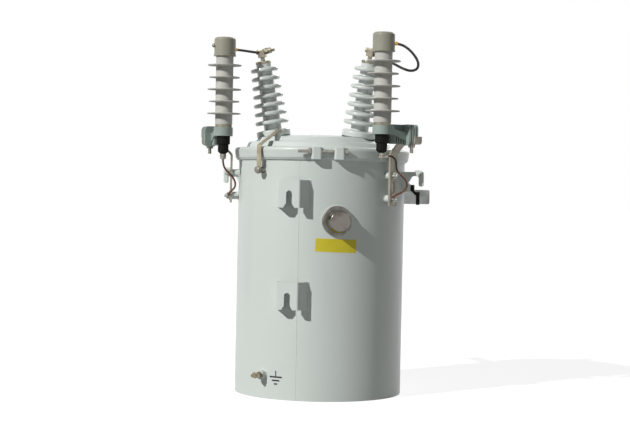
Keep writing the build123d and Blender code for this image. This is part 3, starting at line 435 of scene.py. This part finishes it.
# Finishes that only some pieces of a slot have
coverPaint = paintedSteel("coverPaint", (207, 215, 212), gloss=0.30)
flangeMetal = bareMetal("flangeMetal", (120, 118, 112), (86, 82, 76), 0.42)
spadeMetal = bareMetal("spadeTin", (172, 176, 174), (140, 142, 138), 0.5, metallic=0.5, patchScale=30)
brass = bareMetal("insertBrass", (196, 158, 96), (150, 114, 62), 0.34)
clampHead = bareMetal("clampHeadMetal", (172, 160, 136), (104, 92, 72), 0.2, patchScale=90)
darkBraid = copperBraid("darkLeadBraid", darkAbove=0.652)
labelPaint = flatPrint("labelYellow", (204, 190, 40), 0.5)
printBlack = flatPrint("printBlack", (28, 28, 28), 0.5)
ownFinish = {"cover": coverPaint, "tap_changer_flange": flangeMetal, "lv_terminals": spadeMetal}


def dressNodes():
    slots = {part["node"]: part["material_slot"] for part in frame["record"]["subparts"]}
    for name, piece in nodes.items():
        piece.data.materials.clear()
        piece.data.materials.append(ownFinish.get(name, finishes[slots[name]]))


dressNodes()
print("finishes made:", len(bpy.data.materials))


# Modelling helpers
def clearSelection():
    bpy.ops.object.select_all(action="DESELECT")


def selectOnly(pieces):
    clearSelection()
    for piece in pieces:
        piece.select_set(True)
    bpy.context.view_layer.objects.active = pieces[0]


def settle(piece, name, finish, angle=35):
    # moves a piece's place into its mesh and gives it its finish, slot and body
    selectOnly([piece])
    bpy.ops.object.transform_apply(location=True, rotation=True, scale=True)
    bpy.ops.object.shade_smooth_by_angle(angle=radians(angle))
    piece.name = name
    piece.data.name = name
    piece.data.materials.clear()
    piece.data.materials.append(finish)
    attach(piece, mainBody)
    return piece


def pointAlong(piece, foot, direction):
    # stands a piece that was made along Z on a foot point, along a direction
    piece.rotation_mode = "QUATERNION"
    piece.rotation_quaternion = Vector(direction).to_track_quat("Z", "Y")
    piece.location = foot


def joined(pieces):
    selectOnly(pieces)
    bpy.ops.object.join()
    return bpy.context.object


def applied(piece, kind, **settings):
    selectOnly([piece])
    modifier = piece.modifiers.new(kind.lower(), kind)
    for key, value in settings.items():
        setattr(modifier, key, value)
    bpy.ops.object.modifier_apply(modifier=modifier.name)
    return piece


def turned(profile, edges):
    # a turned piece along Z: the profile is (height, radius) pairs that start at height 0
    height, width = profile[0]
    clearSelection()
    bpy.ops.mesh.primitive_circle_add(vertices=edges, radius=width, fill_type="NGON")
    piece = bpy.context.object
    bpy.ops.object.mode_set(mode="EDIT")
    bpy.ops.mesh.select_all(action="SELECT")
    for nextHeight, nextWidth in profile[1:]:
        bpy.ops.mesh.extrude_region_move(TRANSFORM_OT_translate={"value": (0, 0, nextHeight - height)})
        grow = nextWidth / width
        bpy.ops.transform.resize(value=(grow, grow, 1), center_override=(0, 0, nextHeight))
        height, width = nextHeight, nextWidth
    bpy.ops.mesh.select_all(action="SELECT")
    bpy.ops.mesh.normals_make_consistent(inside=False)
    bpy.ops.object.mode_set(mode="OBJECT")
    return piece


# Fasteners: their roots, faces and edges as shares of their own size, and how many sides each has
shapes = {
    "threadRoot": 0.86, "threadSides": 16, "nutEdge": 0.14, "nutFace": 0.47, "nutSides": 36,
    "washerFace": 0.96, "washerEdge": 0.2, "washerSides": 36,
}


def threadedEnd(foot, direction, radius, length, pitch=0.0015):
    root = radius * shapes["threadRoot"]
    profile = [(0, root)]
    for turn in range(int(length / pitch)):
        profile += [((turn + 0.5) * pitch, radius), ((turn + 1) * pitch, root)]
    piece = turned(profile, shapes["threadSides"])
    pointAlong(piece, foot, direction)
    return piece


def hexNut(foot, direction, acrossFlats, thickness, turn=0.0):
    # a nut with both faces chamfered: a hexagon cut by a double cone
    wide = acrossFlats / sqrt(3)
    clearSelection()
    bpy.ops.mesh.primitive_cylinder_add(vertices=6, radius=wide, depth=thickness)
    nut = bpy.context.object
    nut.rotation_euler = (0, 0, turn)
    nut.location = (0, 0, thickness / 2)
    bpy.ops.object.transform_apply(location=True, rotation=True, scale=True)
    edge = thickness * shapes["nutEdge"]
    face = acrossFlats * shapes["nutFace"]
    profile = [(0, face), (edge, wide), (thickness - edge, wide), (thickness, face)]
    cone = turned(profile, shapes["nutSides"])
    applied(nut, "BOOLEAN", operation="INTERSECT", object=cone, solver="EXACT")
    bpy.data.objects.remove(cone)
    pointAlong(nut, foot, direction)
    return nut


def washer(foot, direction, radius, thickness):
    face = radius * shapes["washerFace"]
    edge = thickness * shapes["washerEdge"]
    profile = [(0, face), (edge, radius), (thickness - edge, radius), (thickness, face)]
    piece = turned(profile, shapes["washerSides"])
    pointAlong(piece, foot, direction)
    return piece


def stacked(foot, direction, rows):
    # what sits on one bolt. A row is the maker, its start along the bolt, its size, its length
    # and, where it matters, a nut's turn or a thread's pitch
    return [make(foot + direction * start, direction, size, *rest) for make, start, size, *rest in rows]


def wrapped(piece, azimuth, height, radius):
    # bends a piece drawn flat, X across and Z up with Y as its depth, round the tank's axis
    for vertex in piece.data.vertices:
        flat = vertex.co.copy()
        vertex.co = around(azimuth + degrees(flat.x / radius), radius - flat.y, height + flat.z)
    return piece


def flatPlate(width, height, thickness, corner, cuts):
    # a plate with rounded corners, standing in XZ, its back at depth 0 and its face towards -Y
    clearSelection()
    bpy.ops.mesh.primitive_plane_add(size=1, rotation=(radians(90), 0, 0))
    plate = bpy.context.object
    plate.scale = (width, height, 1)
    bpy.ops.object.transform_apply(location=True, rotation=True, scale=True)
    bpy.ops.object.mode_set(mode="EDIT")
    bpy.ops.mesh.select_all(action="SELECT")
    bpy.ops.mesh.bevel(offset=corner, segments=4, affect="VERTICES")
    for cut in range(1, cuts):
        bpy.ops.mesh.select_all(action="SELECT")
        bpy.ops.mesh.bisect(plane_co=(width * (cut / cuts - 0.5), 0, 0), plane_no=(1, 0, 0))
    bpy.ops.object.mode_set(mode="OBJECT")
    applied(plate, "SOLIDIFY", thickness=thickness, offset=-1)
    return plate


# Weld beads: how round a bead is, and the grain and height of its ripples
beadShape = {"resolution": 2, "grain": 0.004, "ripple": 0.0005}


def weldBead(name, points, radius, finish, cyclic=False, ripple=beadShape["ripple"]):
    # a bead of weld along a line of points, made uneven by a cloud pattern
    line = bpy.data.curves.new(name, "CURVE")
    line.dimensions = "3D"
    line.bevel_depth = radius
    line.bevel_resolution = beadShape["resolution"]
    line.use_fill_caps = not cyclic
    spline = line.splines.new("POLY")
    spline.points.add(len(points) - 1)
    for point, spot in zip(spline.points, points):
        point.co = (*spot, 1)
    spline.use_cyclic_u = cyclic
    bead = bpy.data.objects.new(name, line)
    bpy.context.scene.collection.objects.link(bead)
    selectOnly([bead])
    bpy.ops.object.convert(target="MESH")
    bead = bpy.context.object
    clouds = bpy.data.textures.new(name, "CLOUDS")
    clouds.noise_scale = beadShape["grain"]
    applied(bead, "DISPLACE", texture=clouds, texture_coords="LOCAL", strength=ripple, mid_level=0.5)
    return settle(bead, name, finish, angle=60)


# Leads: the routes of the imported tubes, as smooth lines. The third number of a point is its height
# above the cover's shoulder.
leads = {
    "line_lead_left": {
        "radius": 0.0038, "length": 0.102, "finish": finishes["line_lead"],
        "route": [
            (-0.2245, -0.170, 0.282), (-0.209, -0.143, 0.2815), (-0.190, -0.112, 0.280),
            (-0.1713, -0.0835, 0.2785),
        ],
    },
    "line_lead_right": {
        "radius": 0.0038, "length": 0.288, "finish": finishes["line_lead"],
        "route": [
            (0.262, -0.1817, 0.2925), (0.282, -0.172, 0.291), (0.299, -0.151, 0.280), (0.310, -0.125, 0.264),
            (0.316, -0.100, 0.245), (0.308, -0.081, 0.228), (0.286, -0.072, 0.223), (0.261, -0.0695, 0.231),
            (0.235, -0.071, 0.245), (0.207, -0.074, 0.259), (0.1725, -0.077, 0.271),
        ],
    },
    "ground_lead_left": {
        "radius": 0.0028, "length": 0.147, "finish": finishes["ground_lead"],
        "route": [
            (-0.2385, -0.190, -0.041), (-0.2383, -0.186, -0.058), (-0.233, -0.170, -0.072),
            (-0.225, -0.151, -0.085), (-0.2205, -0.136, -0.101), (-0.223, -0.128, -0.117),
            (-0.235, -0.129, -0.129), (-0.2465, -0.1225, -0.137), (-0.2513, -0.111, -0.1415),
        ],
    },
    "ground_lead_right": {
        "radius": 0.0028, "length": 0.188, "finish": darkBraid,
        "route": [
            (0.250, -0.1865, -0.024), (0.2615, -0.183, -0.0215), (0.2705, -0.1755, -0.0255),
            (0.2745, -0.166, -0.0355), (0.2725, -0.156, -0.048), (0.2715, -0.145, -0.062),
            (0.281, -0.134, -0.074), (0.291, -0.1235, -0.086), (0.295, -0.1165, -0.100),
            (0.290, -0.112, -0.114), (0.277, -0.113, -0.124), (0.2635, -0.1165, -0.130),
            (0.2492, -0.1157, -0.139),
        ],
    },
}


def routeSpots(name):
    shoulder = tank["coverHeight"]
    return [Vector((across, depth, shoulder + rise)) for across, depth, rise in leads[name]["route"]]


def addLeads():
    for name, lead in leads.items():
        line = bpy.data.curves.new(name + "_wire", "CURVE")
        line.dimensions = "3D"
        line.bevel_depth = lead["radius"]
        line.bevel_resolution = 4
        line.resolution_u = 12
        line.use_fill_caps = True
        spline = line.splines.new("NURBS")
        spots = routeSpots(name)
        spline.points.add(len(spots) - 1)
        for point, spot in zip(spline.points, spots):
            point.co = (*spot, 1)
        spline.order_u = 3
        spline.use_endpoint_u = True
        wire = bpy.data.objects.new(name + "_wire", line)
        bpy.context.scene.collection.objects.link(wire)
        wire.data.materials.append(lead["finish"])
        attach(wire, mainBody)
        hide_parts(name)
        2 * lead["radius"]


addLeads()
print("leads laid")


# Weld seam of the tank wall, and the beads along the hangers and the lifting hooks. A half is the way
# along the wall from a piece's middle to its bead.
seam = {"azimuth": 3.8, "low": 0.004, "high": 0.674, "radius": 0.0016, "sunk": 0.0009, "steps": 110}
hangerWeld = {
    "half": 0.048, "clearTurn": 0.15, "radius": 0.0022, "steps": 24,
    "heights": [(0.545, 0.621), (0.2593, 0.3353)],
}
hookWeld = {"azimuth": 90, "half": 0.0048, "radius": 0.00176, "steps": 20, "heights": (0.588, 0.652)}


def uprightLine(azimuth, radius, low, high, steps):
    return [around(azimuth, radius, low + (high - low) * k / steps) for k in range(steps + 1)]


def addWelds():
    reach = tank["radius"] - seam["sunk"]
    spots = uprightLine(seam["azimuth"], reach, seam["low"], seam["high"], seam["steps"])
    weldBead("tank_seam_weld", spots, seam["radius"], finishes["tank_paint"])
    hangerTurn = degrees(hangerWeld["half"] / tank["radius"]) + hangerWeld["clearTurn"]
    for number, heights in enumerate(hangerWeld["heights"]):
        for side in (-1, 1):
            spots = uprightLine(side * hangerTurn, tank["radius"], *heights, hangerWeld["steps"])
            weldBead(f"hanger_weld_{number}_{side + 1}", spots, hangerWeld["radius"], finishes["tank_paint"])
    hookTurn = degrees(hookWeld["half"] / tank["radius"])
    for side in (-1, 1):
        for face in (-1, 1):
            azimuth = side * hookWeld["azimuth"] + face * hookTurn
            spots = uprightLine(azimuth, tank["radius"], *hookWeld["heights"], hookWeld["steps"])
            weldBead(f"hook_weld_{side + 1}_{face + 1}", spots, hookWeld["radius"], finishes["tank_paint"])


# Weld rings round the bosses on the wall: azimuth, height and radius of each
bossWelds = {
    "strap_boss_left_high": (-67.8, 0.640, 0.0117), "strap_boss_left_low": (-67.8, 0.574, 0.0117),
    "strap_boss_right_high": (67.8, 0.640, 0.0117), "strap_boss_right_low": (67.8, 0.574, 0.0117),
    "ground_strap_boss": (-24, 0.649, 0.0102), "tank_ground_boss": (-20.8, 0.068, 0.0137),
    "tap_ring": (29.2, 0.509, 0.043),
}
bossBead = {"radius": 0.0016, "steps": 40}


def ringPoints(radius, steps):
    # a circle as pairs of steps across and up
    turns = [2 * pi * k / steps for k in range(steps)]
    return [(radius * cos(turn), radius * sin(turn)) for turn in turns]


def addBossWelds():
    wall = tank["radius"]
    for name, (azimuth, height, radius) in bossWelds.items():
        ring = ringPoints(radius, bossBead["steps"])
        spots = [around(azimuth + degrees(x / wall), wall, height + z) for x, z in ring]
        weldBead(name + "_weld", spots, bossBead["radius"], finishes["tank_paint"], cyclic=True)


addWelds()
addBossWelds()
print("welds drawn")


# Label: a plain yellow plate, bent to the wall
label = {
    "azimuth": 29.1, "height": 0.4397, "tilt": 0.025, "width": 0.118, "tall": 0.0375, "thick": 0.0005,
    "corner": 0.0015, "lift": 0.0002, "cuts": 24,
}


def addLabel():
    plate = flatPlate(label["width"], label["tall"], label["thick"], label["corner"], label["cuts"])
    plate.data.transform(Matrix.Rotation(label["tilt"], 4, "Y"))
    wrapped(plate, label["azimuth"], label["height"], tank["radius"] + label["lift"])
    settle(plate, "label_plate", labelPaint)


# Earth symbol: three bars under a stem, printed on the wall. A stroke is its height on the wall, its
# width and its own height.
earth = {
    "azimuth": -10.4, "lift": 0.00025, "thick": 0.00015, "corner": 0.0009, "cuts": 8,
    "strokes": [
        (0.0742, 0.0034, 0.0156), (0.064, 0.040, 0.0046), (0.054, 0.0246, 0.0044), (0.0442, 0.0107, 0.0044),
    ],
}


def addEarthSymbol():
    strokes = []
    for height, width, tall in earth["strokes"]:
        stroke = flatPlate(width, tall, earth["thick"], earth["corner"], earth["cuts"])
        strokes.append(wrapped(stroke, earth["azimuth"], height, tank["radius"] + earth["lift"]))
    settle(joined(strokes), "earth_symbol", printBlack)


addLabel()
addEarthSymbol()
print("label and symbol placed")


# Clamp band's bolt: a nut at each lug and a long threaded tail on the left
bandBolt = {
    "azimuth": 22.3, "reach": 0.2623, "height": 0.703, "half": 0.047,
    "left": [(threadedEnd, 0, 0.0047, 0.038), (hexNut, 0, 0.0163, 0.0083)],
    "right": [(hexNut, 0, 0.0163, 0.0083)],
}


def addBandBolt():
    along = Vector((cos(radians(bandBolt["azimuth"])), sin(radians(bandBolt["azimuth"])), 0))
    middle = around(bandBolt["azimuth"], bandBolt["reach"], bandBolt["height"])
    pieces = stacked(middle - along * bandBolt["half"], -along, bandBolt["left"])
    pieces += stacked(middle + along * bandBolt["half"], along, bandBolt["right"])
    settle(joined(pieces), "band_bolt_threads", finishes["bolt_steel"])


# Arrester straps: washer, nut and thread on each of the two wall studs. A stud is its height and its
# washer's radius.
strap = {
    "azimuth": 67.8, "face": 0.27035, "studs": [(0.640, 0.0112), (0.574, 0.0142)], "washerThick": 0.0022,
    "onStud": [(hexNut, 0.002, 0.0172, 0.0081), (threadedEnd, 0.0091, 0.0051, 0.0061)],
}


def addStrapStuds():
    for name, side in sides.items():
        outward = around(side * strap["azimuth"], 1, 0)
        pieces = []
        for height, washerRadius in strap["studs"]:
            foot = around(side * strap["azimuth"], strap["face"], height)
            pieces += stacked(foot, outward, [(washer, 0, washerRadius, strap["washerThick"])])
            pieces += stacked(foot, outward, strap["onStud"])
        settle(joined(pieces), f"strap_stud_nuts_{name}", finishes["bolt_steel"])


# Bracket bolts: washer, nut and thread under each strap's end
bracketBolt = {
    "azimuth": 67.8, "reach": 0.332, "underside": 0.72265,
    "under": [
        (washer, 0, 0.0105, 0.0018), (hexNut, 0.0016, 0.0172, 0.0076), (threadedEnd, 0.009, 0.0051, 0.0155),
    ],
}


def addBracketBolts():
    for name, side in sides.items():
        underside = bracketBolt["underside"] + arrester["lifts"][name]
        foot = around(side * bracketBolt["azimuth"], bracketBolt["reach"], underside)
        pieces = stacked(foot, down, bracketBolt["under"])
        settle(joined(pieces), f"bracket_bolt_nuts_{name}", finishes["bolt_steel"])


# Disconnector studs: two nuts with washers, and the thread that comes out of them
disconnectorStud = [
    (washer, 0, 0.0086, 0.0011), (hexNut, 0.0011, 0.0162, 0.0061, 0.3), (washer, 0.0071, 0.0092, 0.0012),
    (hexNut, 0.0081, 0.0162, 0.0061, 0.8), (threadedEnd, 0.0138, 0.0042, 0.0045),
]


def addDisconnectorStuds():
    for name, side in sides.items():
        foot = Vector((side * arrester["x"], arrester["y"], arrester["studTop"] + arrester["lifts"][name]))
        pieces = stacked(foot, down, disconnectorStud)
        settle(joined(pieces), f"disconnector_nuts_{name}", finishes["bolt_steel"])


# High-voltage terminals: nuts and thread of the clamp screw, and the rim of the disc under the clamp
terminal = {
    "azimuth": 65, "reach": 0.143, "foot": 0.747, "tilt": 9.5, "screwRise": 0.255, "half": 0.011,
    "rim": [(0, 0.0219), (0.0006, 0.0229), (0.0026, 0.0229), (0.0032, 0.0219)], "rimSides": 48,
    "rimRise": 0.2204,
    "onScrew": [
        (washer, 0, 0.0092, 0.0018), (hexNut, 0.0016, 0.0162, 0.0086), (washer, 0.0100, 0.0086, 0.0016),
        (hexNut, 0.0114, 0.0162, 0.0086, 0.5), (threadedEnd, 0.0196, 0.0046, 0.0104, 0.00125),
    ],
    "head": [(hexNut, 0, 0.0135, 0.0052, 0.4)],
}


def addTerminals():
    lean = radians(terminal["tilt"])
    for name, side in sides.items():
        azimuth = side * terminal["azimuth"]
        foot = around(azimuth, terminal["reach"], terminal["foot"])
        axis = around(azimuth, sin(lean), cos(lean))  # the way the bushing points
        across = (Vector((1, 0, 0)) - axis * axis.x).normalized()
        screw = foot + axis * terminal["screwRise"]
        pieces = stacked(screw + across * terminal["half"], across, terminal["onScrew"])
        pieces += stacked(screw - across * terminal["half"], -across, terminal["head"])
        rim = turned(terminal["rim"], terminal["rimSides"])
        pointAlong(rim, foot + axis * terminal["rimRise"], axis)
        pieces.append(rim)
        settle(joined(pieces), f"terminal_screw_{name}", finishes["bronze"])


# Ground strap: washer, nut and thread on the cover boss and on the wall boss
groundStrap = {
    "coverSpot": around(-23.5, 0.190, 0.7592), "wallAzimuth": -24, "wallSpot": around(-24, 0.2654, 0.649),
    "onCover": [
        (washer, 0, 0.0108, 0.0016), (hexNut, 0.0015, 0.0172, 0.0077), (threadedEnd, 0.009, 0.0048, 0.0045),
    ],
    "onWall": [
        (washer, 0, 0.0112, 0.0016), (hexNut, 0.0014, 0.0172, 0.0068), (threadedEnd, 0.0078, 0.0051, 0.0035),
    ],
}


def addGroundStrapNuts():
    outward = around(groundStrap["wallAzimuth"], 1, 0)
    pieces = stacked(groundStrap["coverSpot"], up, groundStrap["onCover"])
    pieces += stacked(groundStrap["wallSpot"], outward, groundStrap["onWall"])
    settle(joined(pieces), "ground_strap_nuts", finishes["bolt_steel"])


# Arrester caps: a brass insert with a dome nut on the left cap, a ferrule on each line lead, and the
# ring that is moulded into the right cap
capFittings = {
    "insertAzimuth": -47, "insertHeight": 0.029, "insertSunk": 0.001, "insertSides": 32,
    "insert": [(0, 0.0066), (0.0016, 0.0066), (0.0021, 0.0060)], "domeLift": 0.002,
    "dome": [(0, 0.0058), (0.0030, 0.0058), (0.0052, 0.0052), (0.0068, 0.0038), (0.0077, 0.0016)],
    "ferrule": [(0, 0.0050), (0.0004, 0.0054), (0.0095, 0.0054), (0.0101, 0.0047)], "ferruleSides": 28,
    "ferruleStarts": {"left": 0.006, "right": 0.004},
    "ringAzimuth": -16.5, "ringHeight": 0.0330, "ringRadius": 0.00835, "ringSteps": 40, "ringBead": 0.0006,
    "ringRipple": 0.00002,
}


def onCap(name, azimuth, height, sunk=0.0):
    # a point on an arrester cap's side
    foot = arrester["capLow"] + arrester["lifts"][name]
    centre = Vector((sides[name] * arrester["x"], arrester["y"], foot))
    return centre + around(azimuth, arrester["capRadius"] - sunk, height)


def addCapFittings():
    outward = around(capFittings["insertAzimuth"], 1, 0)
    sunk = capFittings["insertSunk"]
    spot = onCap("left", capFittings["insertAzimuth"], capFittings["insertHeight"], sunk)
    insert = turned(capFittings["insert"], capFittings["insertSides"])
    pointAlong(insert, spot, outward)
    settle(insert, "cap_insert_left", brass)
    dome = turned(capFittings["dome"], capFittings["insertSides"])
    pointAlong(dome, spot + outward * capFittings["domeLift"], outward)
    settle(dome, "cap_dome_nut_left", flangeMetal)
    for name, start in capFittings["ferruleStarts"].items():
        first, second = routeSpots("line_lead_" + name)[:2]
        along = (second - first).normalized()
        ferrule = turned(capFittings["ferrule"], capFittings["ferruleSides"])
        pointAlong(ferrule, first + along * start, along)
        settle(ferrule, f"lead_ferrule_{name}", brass)
    spots = []
    for x, z in ringPoints(capFittings["ringRadius"], capFittings["ringSteps"]):
        azimuth = capFittings["ringAzimuth"] + degrees(x / arrester["capRadius"])
        spots.append(onCap("right", azimuth, capFittings["ringHeight"] + z))
    bead = capFittings["ringBead"]
    ripple = capFittings["ringRipple"]
    weldBead("cap_ring_right", spots, bead, finishes["cap_plastic"], cyclic=True, ripple=ripple)


# Ground clamp at the tank's foot: a washer on the boss, a nut and the round head of the clamping screw
footClamp = {
    "azimuth": -20.8, "spot": around(-20.8, 0.259, 0.068),
    "onBoss": [(washer, 0, 0.0094, 0.0016), (hexNut, 0.0175, 0.0165, 0.0055, 0.3)], "headStart": 0.0225,
    "head": [
        (0, 0.00592), (0.00185, 0.0074), (0.00407, 0.0074), (0.00666, 0.006364), (0.00888, 0.00407),
        (0.00962, 0.00148),
    ],
    "headSides": 32,
}


def addFootClamp():
    outward = around(footClamp["azimuth"], 1, 0)
    pieces = stacked(footClamp["spot"], outward, footClamp["onBoss"])
    head = turned(footClamp["head"], footClamp["headSides"])
    pointAlong(head, footClamp["spot"] + outward * footClamp["headStart"], outward)
    pieces.append(head)
    settle(joined(pieces), "foot_clamp_screw", clampHead)


addBandBolt()
addStrapStuds()
addBracketBolts()
addDisconnectorStuds()
addTerminals()
addGroundStrapNuts()
addCapFittings()
addFootClamp()
print("fastenings fitted")


# Stage: a pale floor, white surroundings, a warm key from the upper left, a soft fill from the right
# and a soft light from behind. Turns are counted from the camera to the left, in degrees.
stage = {"floorSize": 60, "floorShade": 0.36, "floorGlow": 0.80, "ambient": 0.062}
lamps = {
    "keySun": {"turn": 48, "rise": 32, "strength": 3.05, "spread": 1.2, "colour": (1.0, 0.985, 0.955)},
    "fillSun": {"turn": -24, "rise": 18, "strength": 0.16, "spread": 60, "colour": (1, 1, 1)},
    "backSun": {"turn": -150, "rise": 28, "strength": 1.5, "spread": 30, "colour": (1, 1, 1)},
}


def addFloor():
    clearSelection()
    bpy.ops.mesh.primitive_circle_add(vertices=64, radius=stage["floorSize"], fill_type="NGON")
    floor = bpy.context.object
    floor.name = "floor"
    board = newBoard("floorWhite")
    shade = stage["floorShade"]
    board.set(colour=(shade, shade, shade, 1), roughness=0.9, specular=0.0)
    strength = board.seenDirect() * stage["floorGlow"]
    glow = board.add("ShaderNodeEmission", {}, {"Color": (1, 1, 1, 1), "Strength": strength})
    mixed = board.add("ShaderNodeAddShader", {}, {0: Wire(board, board.shader.outputs[0]), 1: glow})
    board.feed(board.tree.nodes["Material Output"].inputs["Surface"], mixed)
    floor.data.materials.append(board.owner)


def addSurroundings():
    world = bpy.data.worlds.new("studioWorld")
    bpy.context.scene.world = world
    board = Board(world)
    background = board.tree.nodes["Background"]
    board.feed(background.inputs["Color"], (1, 1, 1, 1))
    ambient = stage["ambient"]
    board.feed(background.inputs["Strength"], ambient + board.seenDirect() * (1 - ambient))


def addLamps():
    for name, lamp in lamps.items():
        turn = radians(lamp["turn"])
        travel = right * sin(turn) + away * cos(turn) - up * tan(radians(lamp["rise"]))
        bpy.ops.object.light_add(type="SUN")
        sun = bpy.context.object
        sun.name = name
        sun.data.energy = lamp["strength"]
        sun.data.angle = radians(lamp["spread"])
        sun.data.color = lamp["colour"]
        sun.rotation_mode = "QUATERNION"
        sun.rotation_quaternion = (-travel).to_track_quat("Z", "Y")


addFloor()
addSurroundings()
addLamps()
bpy.context.scene.view_settings.view_transform = "Standard"
print("stage lit")
